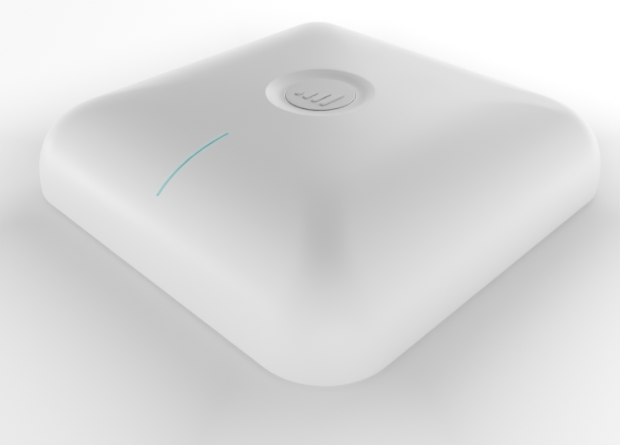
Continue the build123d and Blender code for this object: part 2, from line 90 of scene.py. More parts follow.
COVER_HEIGHT = 34.9
CORNER_R = 22.6
CORNER_SHRINK = 1.19
CORNER_MIN_RUN = 23.0
SHOULDER_RUN = 39.0
SIDE_HANDLE = (0.1, 7.0)
CROWN_HANDLE = 38.6
CROWN = 0.68
WALL = 2.0
DISH_R = 18.3
DISH_FLOOR_R = 12.3
DISH_DEPTH = 1.5
LIP_ROUND = 0.45
SEAT_R = 12.0
BACKING = 2.4
BACKING_R = DISH_R + 1.6
SLOT_HALF = 0.6
EDGE_ROUND = 0.35
CROWN_HALF = HALF - SHOULDER_RUN
print("half width", round(HALF, 3), "light bar", round(BAR_START, 2), "to", round(BAR_END, 2))

# %% [markdown]
# ## From arrays to a mesh
# Every new surface here goes round something, so it is a closed band of points worked out in whole arrays. One
# helper turns the band into faces: each cell of the grid becomes a four-sided face, and the last column joins
# the first. A second helper merges points that coincide, so that a row shrunk to a point becomes a fan, and puts
# all of it into the mesh in one call. Edges sharper than SHARP_EDGE stay crisp, the others are shaded smooth.

# %% Band and mesh helpers
SAME_POINT = 1e-4
SHARP_EDGE = math.radians(42)


def band_faces(rows, cols, start=0, keep=None):
    """Four corners of every cell of a rows by cols band of points, numbered row by row from start. The column
    after the last is the first. keep is a mask of cells, one less than rows high."""
    i, j = np.meshgrid(np.arange(rows - 1), np.arange(cols), indexing="ij")
    k = (j + 1) % cols
    quads = np.stack([i * cols + j, i * cols + k, (i + 1) * cols + k, (i + 1) * cols + j], -1)
    if keep is not None:
        quads = quads[keep]
    return quads.reshape(-1, 4) + start


def make_piece(name, points, quads, body):
    """A mesh object from an array of points in millimetres and an array of four-cornered faces.
    Corners that coincide, as at a pole, are merged, so every fan closes."""
    mesh = bpy.data.meshes.new(name)
    points = np.asarray(points, np.float64).reshape(-1, 3) * MM
    keys = np.round(points / (MM * SAME_POINT)).astype(np.int64)
    _, first, back = np.unique(keys, axis=0, return_index=True, return_inverse=True)
    faces = back.reshape(-1)[quads]
    same = faces == np.roll(faces, -1, axis=1)
    loops = [row[~gone] for row, gone in zip(faces, same)] if same.any() else faces
    loops = [tuple(int(v) for v in row) for row in loops if len(row) > 2]
    mesh.from_pydata(points[first].tolist(), [], loops)
    mesh.polygons.foreach_set("use_smooth", np.ones(len(mesh.polygons), bool))
    mesh.validate()
    mesh.set_sharp_from_angle(angle=SHARP_EDGE)
    mesh.update()
    piece = bpy.data.objects.new(name, mesh)
    bpy.context.scene.collection.objects.link(piece)
    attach(piece, body)
    print(name, len(mesh.vertices), "points", len(mesh.polygons), "faces")
    return piece


# %% [markdown]
# ## The shell's profile
# Cut through the middle of a side, the shell goes nearly straight up, rolls over in one generous curve and
# runs on as a very flat crown. The roll is a cubic curve with four control points, so its fullness is set by
# two handles, and the crown is a parabola that takes over where the curve ends, with the same slope.


# %% Profile
FINE = 4001


def shoulder(t):
    """Run inward and height of the cubic curve at t, and the inward unit normal. t is an array, 0 at the
    bottom edge and 1 where the crown starts."""
    slope = 2 * CROWN / CROWN_HALF
    top = COVER_HEIGHT - CROWN
    p = np.array(
        [
            (0.0, 0.0),
            SIDE_HANDLE,
            (SHOULDER_RUN - CROWN_HANDLE, top - CROWN_HANDLE * slope),
            (SHOULDER_RUN, top),
        ]
    )
    t = np.asarray(t, float)[:, None]
    u = 1 - t
    here = u**3 * p[0] + 3 * u**2 * t * p[1] + 3 * u * t**2 * p[2] + t**3 * p[3]
    along = u**2 * (p[1] - p[0]) + 2 * u * t * (p[2] - p[1]) + t**2 * (p[3] - p[2])
    along /= np.linalg.norm(along, axis=1)[:, None]
    return here[:, 0], here[:, 1], along[:, 1], -along[:, 0]


def crown_height(half):
    """Height of the crown over the shell's edge, for the contour of that half width: a parabola."""
    return COVER_HEIGHT - CROWN * (half / CROWN_HALF) ** 2


def corner_radius(run):
    """Corner radius of the contour that lies run inside the side: a parabola. The corners tighten over the
    shoulder and open out again towards the dish, so that the soft ridges along the diagonals fade there."""
    radius = CORNER_R - CORNER_SHRINK * (run - run**2 / (2 * CORNER_MIN_RUN))
    return np.minimum(radius, 0.72 * (HALF - run))


def contour(t, inset=0.0):
    """Half width, height and corner radius of the contour at t, moved inward by inset along the normal."""
    run, rise, nx, nz = shoulder(t)
    return HALF - run - inset * nx, EDGE_Z + rise + inset * nz, corner_radius(run) - inset * nx


def crown_contour(half, inset=0.0):
    """The same for a contour on the crown, told by the outer surface's half width."""
    slope = 2 * CROWN * half / CROWN_HALF**2
    length = np.hypot(1.0, slope)
    shift = inset * slope / length
    return half - shift, EDGE_Z + crown_height(half) - inset / length, corner_radius(HALF - half) - shift


def half_width_at(x, y):
    """Half width of the crown's contour that passes through (x, y). In a corner the point is one radius from
    the corner's centre, elsewhere it is on a straight side. Solved for all points at once by halving."""
    ax, ay = np.abs(x), np.abs(y)
    low, high = np.zeros_like(ax), np.full_like(ax, CROWN_HALF * 1.3)
    for _ in range(50):
        mid = (low + high) / 2
        r = corner_radius(HALF - mid)
        cx, cy = ax - (mid - r), ay - (mid - r)
        reach = np.where((cx > 0) & (cy > 0), np.hypot(cx, cy) - r, np.maximum(ax, ay) - mid)
        low, high = np.where(reach > 0, mid, low), np.where(reach > 0, high, mid)
    return (low + high) / 2


# %% [markdown]
# ## Columns that run round the shell
# A surface that goes round a rounded square wants its columns spread evenly along the straight sides and round
# the corners. Two columns run together up the middle of each side and part where the slot is: on the side with
# the light they become its two long edges, so the slot needs no cutting.

# %% Columns
SIDE_STEPS = 26
CORNER_STEPS = 22
side_share = np.linspace(-1, 1, SIDE_STEPS + 1)
side_share = np.concatenate([side_share[: SIDE_STEPS // 2], [0, 0], side_share[SIDE_STEPS // 2 + 1 : -1]])
middle = np.flatnonzero(side_share == 0)
turn = np.linspace(-math.pi / 2, 0, CORNER_STEPS + 1)[:-1]


def ring(half, corner, slot_half=0.0):
    """Points round rounded squares, one row for each half width. A quarter is a straight side, -Y first,
    then the arc that ends it, and the other quarters are that one turned by 90 degrees."""
    half, corner = np.atleast_1d(half)[:, None], np.atleast_1d(corner)[:, None]
    x = side_share[None, :] * (half - corner)
    x[:, middle] = np.atleast_1d(slot_half)[:, None] * np.array([-1.0, 1.0])
    side = np.stack([x, -half + 0 * x], -1)
    centre = half - corner
    arc = np.stack([centre + corner * np.cos(turn), -centre + corner * np.sin(turn)], -1)
    quarter = np.concatenate([side, arc], 1)
    quarters = [quarter]
    for _ in range(3):
        last = quarters[-1]
        quarters.append(np.stack([-last[..., 1], last[..., 0]], -1))
    return np.concatenate(quarters, 1)


def stack_rows(half, height, corner, slot_half=0.0):
    """Rows of a pillow: a ring of each half width and corner radius, at its height."""
    flat = ring(half, corner, slot_half)
    z = np.broadcast_to(np.atleast_1d(height)[:, None, None], flat.shape[:2] + (1,))
    return np.concatenate([flat, z], -1)


COLS = 4 * (len(side_share) + len(turn))
print("columns", COLS)

# %% [markdown]
# ## Round rows for a round dish
# The dish is round and the shell is square, but both need the same number of columns. So every column keeps the
# bearing that it has where the crown's contours take over, and near the middle the rows are circles at those
# bearings. A circle can be flat, or lie on the crown's surface.

# %% Rows on circles
BLEND_HALF = 30.0
lip_ring = ring(BLEND_HALF, corner_radius(HALF - BLEND_HALF))[0]
bearing = np.arctan2(lip_ring[:, 1], lip_ring[:, 0])
blend_reach = np.hypot(lip_ring[:, 0], lip_ring[:, 1])
unit = np.stack([np.cos(bearing), np.sin(bearing)], -1)


def circle_rows(radius, height):
    """Rows on circles. height is one number for each row, or a value for every point."""
    flat = np.atleast_1d(radius)[:, None, None] * unit[None]
    height = np.asarray(height, float)
    height = height[:, None] if height.ndim == 1 else height
    z = np.broadcast_to(height[..., None], flat.shape[:2] + (1,))
    return np.concatenate([flat, z], -1)


def crown_rows(radius):
    """Rows on circles that lie on the crown's surface."""
    flat = np.atleast_1d(radius)[:, None, None] * unit[None]
    z = EDGE_Z + crown_height(half_width_at(flat[..., 0], flat[..., 1]))
    return np.concatenate([flat, z[..., None]], -1)


print("columns start at bearing", round(math.degrees(bearing[0]), 1), "degrees")

# %% [markdown]
# ## The dish, and the crown round it
# The rows start in the middle of the dish. Circles make the seat of the disc, a narrow floor and the hollow wall
# of the dish, which climbs like a parabola to a crisp, barely rounded lip. From there they change into the
# crown's contours: each column runs straight outward, and its height is read from the crown, so the crown's
# shape doesn't depend on how the rows are spread.

# %% Dish rows
WALL_ROWS = 22
LIP_ROWS = 7
BLEND_ROWS = 10
lip_z = crown_rows(DISH_R)[0, :, 2]
dish_z = EDGE_Z + crown_height(DISH_R) - DISH_DEPTH

seat = circle_rows([0.0, 5.0, SEAT_R - 0.25, SEAT_R], [SEAT_Z] * 4)
seat_edge = circle_rows([SEAT_R, SEAT_R + 0.04, SEAT_R + 0.15], [dish_z - 0.15, dish_z - 0.04, dish_z])
climb = np.linspace(0, 1 - LIP_ROUND / (DISH_R - DISH_FLOOR_R), WALL_ROWS)
wall_r = DISH_FLOOR_R + climb * (DISH_R - DISH_FLOOR_R)
dish_wall = circle_rows(wall_r, dish_z + climb[:, None] ** 2 * (lip_z - dish_z)[None, :])
after_lip = crown_rows(DISH_R + LIP_ROUND)
t = np.linspace(0, 1, LIP_ROWS + 2)[1:-1, None, None]
sharp_lip = circle_rows([DISH_R], lip_z[None, :])
lip = (1 - t) ** 2 * dish_wall[-1:] + 2 * (1 - t) * t * sharp_lip + t**2 * after_lip
lip = np.concatenate([lip, after_lip])

share = np.linspace(0, 1, BLEND_ROWS + 1)[1:]
reach = DISH_R + LIP_ROUND + share[:, None] * (blend_reach - DISH_R - LIP_ROUND)[None, :]
blend_xy = reach[..., None] * unit[None]
blend_z = EDGE_Z + crown_height(half_width_at(blend_xy[..., 0], blend_xy[..., 1]))
blend = np.concatenate([blend_xy, blend_z[..., None]], -1)
print("rows: dish wall", len(dish_wall), "lip", len(lip), "crown round it", len(blend))

# %% [markdown]
# ## Down over the shoulder, past the slot
# The shoulder's curve carries the rows from the crown to the bottom edge. Beside the slot they are packed so
# that one row falls exactly on each of its ends and a few more round them, where the slot's half circles need
# them. The inside is the same surface moved in by the wall, with matching rows beside the slot.


# %% Shell rows
def spread(low, high, step):
    """Evenly spread values from low to high, both included, about a step apart."""
    return np.linspace(low, high, max(2, int(round(abs(high - low) / step)) + 1))


def t_at_half(half, inset=0.0):
    """The curve's t at which its contour has that half width, read from a fine table."""
    fine = np.linspace(0, 1, FINE)
    return np.interp(-np.asarray(half), -contour(fine, inset)[0], fine)


def crown_half_for(half, inset):
    """The outer half width whose contour, moved inward by inset, has the wanted half width."""
    fine = np.linspace(5.0, CROWN_HALF * 1.2, FINE)
    return np.interp(half, crown_contour(fine, inset)[0], fine)


def slot_width(half):
    """Half the slot's width where a contour of that half width crosses it: constant, with round ends, and
    nothing beyond them."""
    to_end = np.minimum(half + BAR_END, -BAR_START - half)
    to_end = np.clip(to_end, 0.0, SLOT_HALF)
    return np.sqrt(SLOT_HALF**2 - (SLOT_HALF - to_end) ** 2)


def slot_stops():
    """Half widths with a row beside the slot: even steps, and closer ones round the two ends."""
    round_end = SLOT_HALF * (1 - np.cos(np.linspace(0, math.pi / 2, 7)))
    even = spread(-BAR_END + SLOT_HALF, -BAR_START - SLOT_HALF, 0.9)[1:-1]
    return np.concatenate([-BAR_END + round_end, even, (-BAR_START - round_end)[::-1]])


def shell_rows(inset, top_half):
    """Rows from the crown down to the bottom edge, with a row exactly on each end of the slot. The outside
    and the inside get the same rows between the slot's ends, so they can be joined through it."""
    crown = crown_half_for(spread(top_half, CROWN_HALF, 1.5)[:-1], inset)
    above = spread(CROWN_HALF, -BAR_END, 1.2)[:-1]
    beside = slot_stops()
    t_upper = t_at_half(np.concatenate([above, beside]), inset)
    t_low = spread(t_upper[-1], 0, 0.025)[1:]
    first = stack_rows(*crown_contour(crown, inset))
    width = np.concatenate([0 * above, slot_width(beside), 0 * t_low])
    second = stack_rows(*contour(np.concatenate([t_upper, t_low]), inset), width)
    start = len(crown) + len(above)
    return np.concatenate([first, second]), (start, start + len(beside) - 1)


outer, outer_slot = shell_rows(0.0, BLEND_HALF)
inner, inner_slot = shell_rows(WALL, BACKING_R + 2.0)
print("slot rows outside", outer_slot, "inside", inner_slot)

# %% [markdown]
# ## Closing the shell
# Under the bottom edge a small round turns the surface inward, and the same contours, moved in by the wall's
# thickness, make the inside. Under the dish the plastic is thicker, as a moulder would make it to seat the
# disc. Where the slot is, the cells between its two columns are left out and walls join outside to inside.

# %% Shell
outer = outer[outer[:, 0, 2] > EDGE_Z + EDGE_ROUND * 1.5]
inner = inner[inner[:, 0, 2] > EDGE_Z + 1.0]
phi = np.linspace(0, math.pi / 2, 6)
edge_half = HALF - EDGE_ROUND * (1 - np.cos(phi)) - 0.01
edge_z = EDGE_Z + EDGE_ROUND * (1 - np.sin(phi))
edge = stack_rows(edge_half, edge_z, CORNER_R - (HALF - edge_half))
foot_half = np.array([HALF - WALL + 0.25, HALF - WALL + 0.02])
foot = stack_rows(foot_half, np.array([EDGE_Z, EDGE_Z + 0.2]), CORNER_R - (HALF - foot_half))

back_z = SEAT_Z - BACKING
inner_top = crown_rows(BACKING_R)[0, :, 2] - WALL
step_down = circle_rows([BACKING_R] * 3, np.stack([inner_top, inner_top - 0.4, 0 * inner_top + back_z]))
back = circle_rows([BACKING_R - 6, 6.0, 0.0], [back_z] * 3)

outside = np.concatenate([seat, seat_edge, dish_wall, lip, blend, outer[1:], edge, foot])
inside = np.concatenate([inner[::-1], step_down, back])
shell = np.concatenate([outside, inside])
rows = len(shell)
first_slot = len(seat) + len(seat_edge) + len(dish_wall) + len(lip) + len(blend) - 1 + outer_slot[0]
last_slot = first_slot + (outer_slot[1] - outer_slot[0])
inner_last = len(outside) + len(inner) - 1 - inner_slot[0]
inner_first = inner_last - (inner_slot[1] - inner_slot[0])

keep = np.ones((rows - 1, COLS), bool)
keep[first_slot:last_slot, middle[0]] = False
keep[inner_first:inner_last, middle[0]] = False
quads = band_faces(rows, COLS, keep=keep)

left, right = middle[0], middle[1]
out_rows = np.arange(first_slot, last_slot + 1)
in_rows = np.arange(inner_last, inner_first - 1, -1)
walls = []
for col, flip in ((left, False), (right, True)):
    a, b = out_rows[:-1] * COLS + col, out_rows[1:] * COLS + col
    c, d = in_rows[1:] * COLS + col, in_rows[:-1] * COLS + col
    wall = np.stack([a, d, c, b], -1)
    walls.append(wall[:, ::-1] if flip else wall)
quads = np.concatenate([quads, *walls])
case_shell = make_piece("case_shell", shell, quads, "access_point")
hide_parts("top_cover")

# %% [markdown]
# ## The light bar
# A blade of milky plastic fills the slot. Its top follows the shell's curve a hair below the surface and is
# very slightly domed, so it catches light along its middle; its ends are round like the slot's. Inside it
# stands on a wider foot that gathers the light of the diodes.

# %% Light bar
BAR_GAP = 0.05
BAR_SUNK = 0.06
BAR_DOME = 0.10
BAR_DEPTH = 3.2
FOOT_HALF = 2.0
FOOT_Z = bar_lo.z / MM


def surface_z(half, inset=0.0):
    """Height of the shell's surface, or of the one inset inside it, on the centreline at that half width."""
    fine = np.linspace(0, 1, FINE)
    half_at, z_at, _ = contour(fine, inset)
    return np.interp(-np.asarray(half), -half_at, z_at)


stops = slot_stops()
along = -stops
reach_x = np.maximum(slot_width(stops) - BAR_GAP, 0.0)
across = np.array([-1.0, -1.0, -0.86, -0.5, 0.0, 0.5, 0.86, 1.0, 1.0])
drop = np.array([BAR_DEPTH, 0.12, 0.03, 0.0, 0.0, 0.0, 0.03, 0.12, BAR_DEPTH])
dome = BAR_DOME * (1 - across**2)
top = surface_z(stops) - BAR_SUNK
blade = np.stack(
    np.broadcast_arrays(
        reach_x[:, None] * across[None, :],
        along[:, None],
        top[:, None] + (dome - BAR_DOME - drop)[None, :],
    ),
    -1,
)
foot_stops = np.concatenate([[0.0], spread(-BAR_END + 1.5, -BAR_START - 3.0, 1.0), [0.0]])
foot_stops[0], foot_stops[-1] = foot_stops[1], foot_stops[-2]
foot_top = surface_z(foot_stops, WALL + 0.1)
foot_x = np.array([-1.0, -1.0, 1.0, 1.0]) * FOOT_HALF
foot_up = np.array([0.0, 1.0, 1.0, 0.0])
shut = np.ones(len(foot_stops))
shut[[0, -1]] = 0.0
foot = np.stack(
    np.broadcast_arrays(
        shut[:, None] * foot_x[None, :],
        -foot_stops[:, None],
        FOOT_Z + foot_up[None, :] * (foot_top - FOOT_Z)[:, None],
    ),
    -1,
)
foot[[0, -1], :, 2] = (FOOT_Z + foot_top[[0, -1], None]) / 2
blade_quads = band_faces(len(blade), len(across))
foot_quads = band_faces(len(foot), len(foot_x), start=len(blade) * len(across))
bar_points = np.concatenate([blade.reshape(-1, 3), foot.reshape(-1, 3)])
bar_quads = np.concatenate([blade_quads, foot_quads])
light_bar = make_piece("light_bar", bar_points, bar_quads, "access_point")
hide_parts("light_pipe")

# %% [markdown]
# ## Finishes
# Nothing here is a plain colour. Moulded plastic carries a fine spark-eroded grain from its tool, and slight
# differences in sheen where it has been handled. The grain is shared by every moulded part, so it is built
# once, as a group of nodes with its own inputs.


# %% Node group helpers
def new_group(name, inputs, outputs):
    tree = bpy.data.node_groups.new(name, "ShaderNodeTree")
    for label, kind, value in inputs:
        socket = tree.interface.new_socket(label, in_out="INPUT", socket_type=kind)
        socket.default_value = value
    for label, kind in outputs:
        tree.interface.new_socket(label, in_out="OUTPUT", socket_type=kind)
    return tree, tree.nodes.new("NodeGroupInput"), tree.nodes.new("NodeGroupOutput")


def node(tree, kind, **values):
    made = tree.nodes.new(kind)
    for key, value in values.items():
        if hasattr(made, key):
            setattr(made, key, value)
        else:
            made.inputs[key].default_value = value
    return made


def link(tree, a, a_name, b, b_name):
    tree.links.new(a.outputs[a_name], b.inputs[b_name])


# %% [markdown]
# The grain group puts out two masks. The fine one becomes a bump. The slow one shifts sheen and colour a little,
# as on plastic that cooled unevenly and has been handled.


# %% Moulded grain
def build_moulded_grain():
    """Height and mask of a moulded surface: fine grain from the tool, and a slow variation of sheen."""
    tree, gin, gout = new_group(
        "moulded_grain",
        [("Grain Scale", "NodeSocketFloat", 2600.0), ("Sheen Scale", "NodeSocketFloat", 22.0)],
        [("Height", "NodeSocketFloat"), ("Sheen", "NodeSocketFloat")],
    )
    coord = node(tree, "ShaderNodeTexCoord")
    grain = node(tree, "ShaderNodeTexNoise", Detail=2.0, Roughness=0.6)
    slow = node(tree, "ShaderNodeTexNoise", Detail=3.0, Roughness=0.55)
    link(tree, coord, "Object", grain, "Vector")
    link(tree, coord, "Object", slow, "Vector")
    link(tree, gin, "Grain Scale", grain, "Scale")
    link(tree, gin, "Sheen Scale", slow, "Scale")
    link(tree, grain, "Fac", gout, "Height")
    link(tree, slow, "Fac", gout, "Sheen")
    return tree


GRAIN = build_moulded_grain()
print(GRAIN.name, len(GRAIN.nodes), "nodes")

# %% [markdown]
# Rolled and plated sheet shows streaks along the way it was drawn. The noise is squeezed across that direction by
# a Mapping node, and a second, even noise makes the cloudy look of a zinc coat.


# %% Drawn metal
def build_drawn_metal():
    """Height and mask of rolled or brushed metal: noise stretched along one direction."""
    tree, gin, gout = new_group(
        "drawn_metal",
        [("Scale", "NodeSocketFloat", 60.0), ("Stretch", "NodeSocketVector", (1.0, 18.0, 18.0))],
        [("Height", "NodeSocketFloat"), ("Streak", "NodeSocketFloat")],
    )
    coord = node(tree, "ShaderNodeTexCoord")
    place = node(tree, "ShaderNodeMapping")
    streak = node(tree, "ShaderNodeTexNoise", Detail=4.0, Roughness=0.65)
    cloud = node(tree, "ShaderNodeTexNoise", Scale=35.0, Detail=2.0)
    link(tree, coord, "Object", place, "Vector")
    link(tree, gin, "Stretch", place, "Scale")
    link(tree, place, "Vector", streak, "Vector")
    link(tree, gin, "Scale", streak, "Scale")
    link(tree, coord, "Object", cloud, "Vector")
    link(tree, streak, "Fac", gout, "Height")
    link(tree, cloud, "Fac", gout, "Streak")
    return tree


DRAWN = build_drawn_metal()
print(DRAWN.name, len(DRAWN.nodes), "nodes")

# %% [markdown]
# ## Two makers of finishes
# Almost every part is either moulded or metal, so one function makes each kind from a colour and a range of
# roughness. The masks drive colour and roughness through ramps, and what is the same all over is set on the
# shader itself.

# %% Moulded and metal finishes
GRAIN_DEPTH = 0.00002
STREAK_DEPTH = 0.00003


def blank_material(name):
    material = bpy.data.materials.new(name)
    material.use_nodes = True
    return material, material.node_tree, material.node_tree.nodes["Principled BSDF"]


def ramp_between(tree, source, source_name, low, high, at=(0.3, 0.7)):
    """A colour ramp from low to high driven by a mask."""
    ramp = tree.nodes.new("ShaderNodeValToRGB")
    ramp.color_ramp.elements[0].position = at[0]
    ramp.color_ramp.elements[1].position = at[1]
    ramp.color_ramp.elements[0].color = (*low, 1)
    ramp.color_ramp.elements[1].color = (*high, 1)
    link(tree, source, source_name, ramp, "Fac")
    return ramp


def grey(value):
    return (value, value, value)


def moulded(name, colour, shade=0.97, rough=(0.44, 0.56), grain=2600.0, strength=0.25):
    """Moulded plastic: the colour hardly varies, the sheen does a little, and the tool's grain is a bump."""
    material, tree, bsdf = blank_material(name)
    group = node(tree, "ShaderNodeGroup")
    group.node_tree = GRAIN
    group.inputs["Grain Scale"].default_value = grain
    tint = ramp_between(tree, group, "Sheen", tuple(c * shade for c in colour), colour)
    gloss = ramp_between(tree, group, "Sheen", grey(rough[0]), grey(rough[1]))
    bump = node(tree, "ShaderNodeBump", Strength=strength, Distance=GRAIN_DEPTH)
    link(tree, tint, "Color", bsdf, "Base Color")
    link(tree, gloss, "Color", bsdf, "Roughness")
    link(tree, group, "Height", bump, "Height")
    link(tree, bump, "Normal", bsdf, "Normal")
    bsdf.inputs["IOR"].default_value = 1.5
    return material


def metal(name, colour, shade=0.85, rough=(0.28, 0.45), stretch=(1.0, 18.0, 18.0)):
    """Bare or plated metal with the faint streaks of rolling or brushing."""
    material, tree, bsdf = blank_material(name)
    group = node(tree, "ShaderNodeGroup")
    group.node_tree = DRAWN
    group.inputs["Stretch"].default_value = stretch
    tint = ramp_between(tree, group, "Streak", tuple(c * shade for c in colour), colour)
    gloss = ramp_between(tree, group, "Height", grey(rough[0]), grey(rough[1]))
    bump = node(tree, "ShaderNodeBump", Strength=0.35, Distance=STREAK_DEPTH)
    link(tree, tint, "Color", bsdf, "Base Color")
    link(tree, gloss, "Color", bsdf, "Roughness")
    link(tree, group, "Height", bump, "Height")
    link(tree, bump, "Normal", bsdf, "Normal")
    bsdf.inputs["Metallic"].default_value = 1.0
    return material


# %% [markdown]
# ## The light in the slot
# A light guide is milky, so it glows all along. Its colour and its glow share one soft cloud, so that the line
# is not perfectly even.


# %% Light bar material
def lit_guide():
    """Milky plastic lit from inside, cyan, with a soft cloud in its colour and its glow."""
    material, tree, bsdf = blank_material("cyan_light_guide")
    coord = node(tree, "ShaderNodeTexCoord")
    cloud = node(tree, "ShaderNodeTexNoise", Scale=120.0, Detail=2.0)
    link(tree, coord, "Object", cloud, "Vector")
    body = ramp_between(tree, cloud, "Fac", (0.10, 0.36, 0.38), (0.16, 0.45, 0.47))
    glow = ramp_between(tree, cloud, "Fac", (0.02, 0.30, 0.33), (0.05, 0.40, 0.43))
    link(tree, body, "Color", bsdf, "Base Color")
    link(tree, glow, "Color", bsdf, "Emission Color")
    bsdf.inputs["Emission Strength"].default_value = 0.35
    bsdf.inputs["Roughness"].default_value = 0.35
    return material


# %% [markdown]
# White plastic is not quite opaque. Light creeps sideways into the shell from the slot's edges, so a faint cyan
# halo, about a millimetre wide, lies on both sides of the bar. Here that halo is painted light: a cyan tint in
# the shell's colour and a faint glow, laid on by a mask in object coordinates: one smooth step away from the slot
# sideways, one past its ends, multiplied.

# %% Light spill
SPILL_REACH = 0.0021
SPILL_INSIDE_END = 0.0006
SPILL_PAST_END = 0.0009
SPILL_GLOW = 0.16


def ranged(tree, source, source_name, low, high, out_low, out_high):
    """A smooth step: the value goes from out_low to out_high while the source goes from low to high."""
    step = node(tree, "ShaderNodeMapRange", interpolation_type="SMOOTHSTEP")
    for label, value in (("From Min", low), ("From Max", high), ("To Min", out_low), ("To Max", out_high)):
        step.inputs[label].default_value = value
    link(tree, source, source_name, step, "Value")
    return step


def maths(tree, operation, first, second=0.0):
    """One arithmetic node. Each operand is a number, or a node with the name of its output."""
    made = node(tree, "ShaderNodeMath", operation=operation)
    for k, operand in enumerate((first, second)):
        if isinstance(operand, tuple):
            tree.links.new(operand[0].outputs[operand[1]], made.inputs[k])
        else:
            made.inputs[k].default_value = operand
    return made


def add_spill(material):
    """Paints the slot's light into a white finish: tints it cyan and lets it glow faintly where the mask round
    the slot is.
    """
    tree = material.node_tree
    bsdf = tree.nodes["Principled BSDF"]
    plain = bsdf.inputs["Base Color"].links[0].from_socket
    coord = node(tree, "ShaderNodeTexCoord")
    parts = node(tree, "ShaderNodeSeparateXYZ")
    link(tree, coord, "Object", parts, "Vector")
    aside = maths(tree, "ABSOLUTE", (parts, "X"))
    middle_y = (BAR_START + BAR_END) / 2 * MM
    half_length = (BAR_END - BAR_START) / 2 * MM
    along_bar = maths(tree, "ABSOLUTE", (maths(tree, "SUBTRACT", (parts, "Y"), middle_y), "Value"))
    near = ranged(tree, aside, "Value", SLOT_HALF * MM, SPILL_REACH, 1.0, 0.0)
    fade_from, fade_to = half_length - SPILL_INSIDE_END, half_length + SPILL_PAST_END
    beside = ranged(tree, along_bar, "Value", fade_from, fade_to, 1.0, 0.0)
    mask = maths(tree, "MULTIPLY", (near, "Result"), (beside, "Result"))
    tint = node(tree, "ShaderNodeMix", data_type="RGBA")
    colours_in = [socket for socket in tint.inputs if socket.type == "RGBA"]
    colour_out = next(socket for socket in tint.outputs if socket.type == "RGBA")
    tree.links.new(mask.outputs["Value"], tint.inputs["Factor"])
    tree.links.new(plain, colours_in[0])
    # Painted light: the cyan that the slot's light gives the white shell.
    colours_in[1].default_value = (0.68, 0.86, 0.88, 1)
    tree.links.new(colour_out, bsdf.inputs["Base Color"])
    strength = maths(tree, "MULTIPLY", (mask, "Value"), SPILL_GLOW)
    bsdf.inputs["Emission Color"].default_value = (0.1, 0.9, 1.0, 1)
    link(tree, strength, "Value", bsdf, "Emission Strength")


# %% [markdown]
# ## A finish for every slot
# The record names a material slot for each part. Here every slot gets its finish: the whites of the case, the
# dark plastics and chips, the metals of screws, shields and antennas, the lacquer of the board. Then each part
# of the model, and both new pieces, take theirs.

# %% Materials for every slot of the record
WHITE = (0.86, 0.865, 0.87)
finishes = {
    "white_shell": moulded("white_shell_plastic", WHITE, shade=0.985, rough=(0.33, 0.40)),
    # The disc is the same white plastic as the shell; its colour is set darker as painted shade for the dish's
    # hollow.
    "white_disc": moulded("disc_plastic_painted_shade", (0.70, 0.705, 0.71), grain=3200.0),
    "tray_plastic": moulded("tray_plastic", (0.70, 0.71, 0.72), rough=(0.5, 0.65)),
    "cyan_light": lit_guide(),
    "black_plastic": moulded("black_plastic", (0.022, 0.022, 0.024), rough=(0.4, 0.6)),
    "plated_steel": metal("zinc_plated_steel", (0.42, 0.43, 0.44), shade=0.75),
    "stud_steel": metal("stud_steel", (0.52, 0.52, 0.53)),
    "screw_steel": metal("screw_steel", (0.46, 0.46, 0.48), rough=(0.22, 0.4)),
    "board_green": moulded("board_lacquer", (0.012, 0.10, 0.045), shade=0.7, rough=(0.22, 0.34)),
    "chip_black": moulded("chip_epoxy", (0.025, 0.025, 0.028), rough=(0.45, 0.6)),
    "can_tin": metal("tinned_sheet", (0.62, 0.62, 0.60)),
    "antenna_metal": metal("antenna_sheet", (0.66, 0.56, 0.33)),
    "sink_aluminium": metal("cast_aluminium", (0.52, 0.53, 0.55), rough=(0.4, 0.6), stretch=(1, 1, 1)),
    "pad_grey": moulded("thermal_pad", (0.17, 0.20, 0.25), rough=(0.7, 0.85)),
    "contact_gold": metal("contact_gold", (0.80, 0.56, 0.20), rough=(0.15, 0.25)),
    "crystal_can": metal("crystal_can", (0.66, 0.66, 0.64)),
    "capacitor_skin": metal("capacitor_skin", (0.46, 0.47, 0.50)),
    "ferrite_dark": moulded("ground_ferrite", (0.05, 0.05, 0.054), rough=(0.5, 0.7), strength=0.6),
    "led_white": moulded("diode_lens", (0.85, 0.86, 0.80), rough=(0.15, 0.25)),
    "ceramic_white": moulded("fired_ceramic", (0.78, 0.77, 0.72), rough=(0.3, 0.45)),
    "button_grey": moulded("button_plastic", (0.12, 0.125, 0.13), rough=(0.4, 0.55)),
}
add_spill(finishes["white_shell"])
slot_of = {part["node"]: part["material_slot"] for part in frame["record"]["subparts"]}
for name, piece in frame["nodes"].items():
    piece.data.materials.clear()
    piece.data.materials.append(finishes[slot_of[name]])
case_shell.data.materials.append(finishes["white_shell"])
light_bar.data.materials.append(finishes["cyan_light"])
print(len(finishes), "finishes on", len(slot_of), "parts and 2 new pieces")
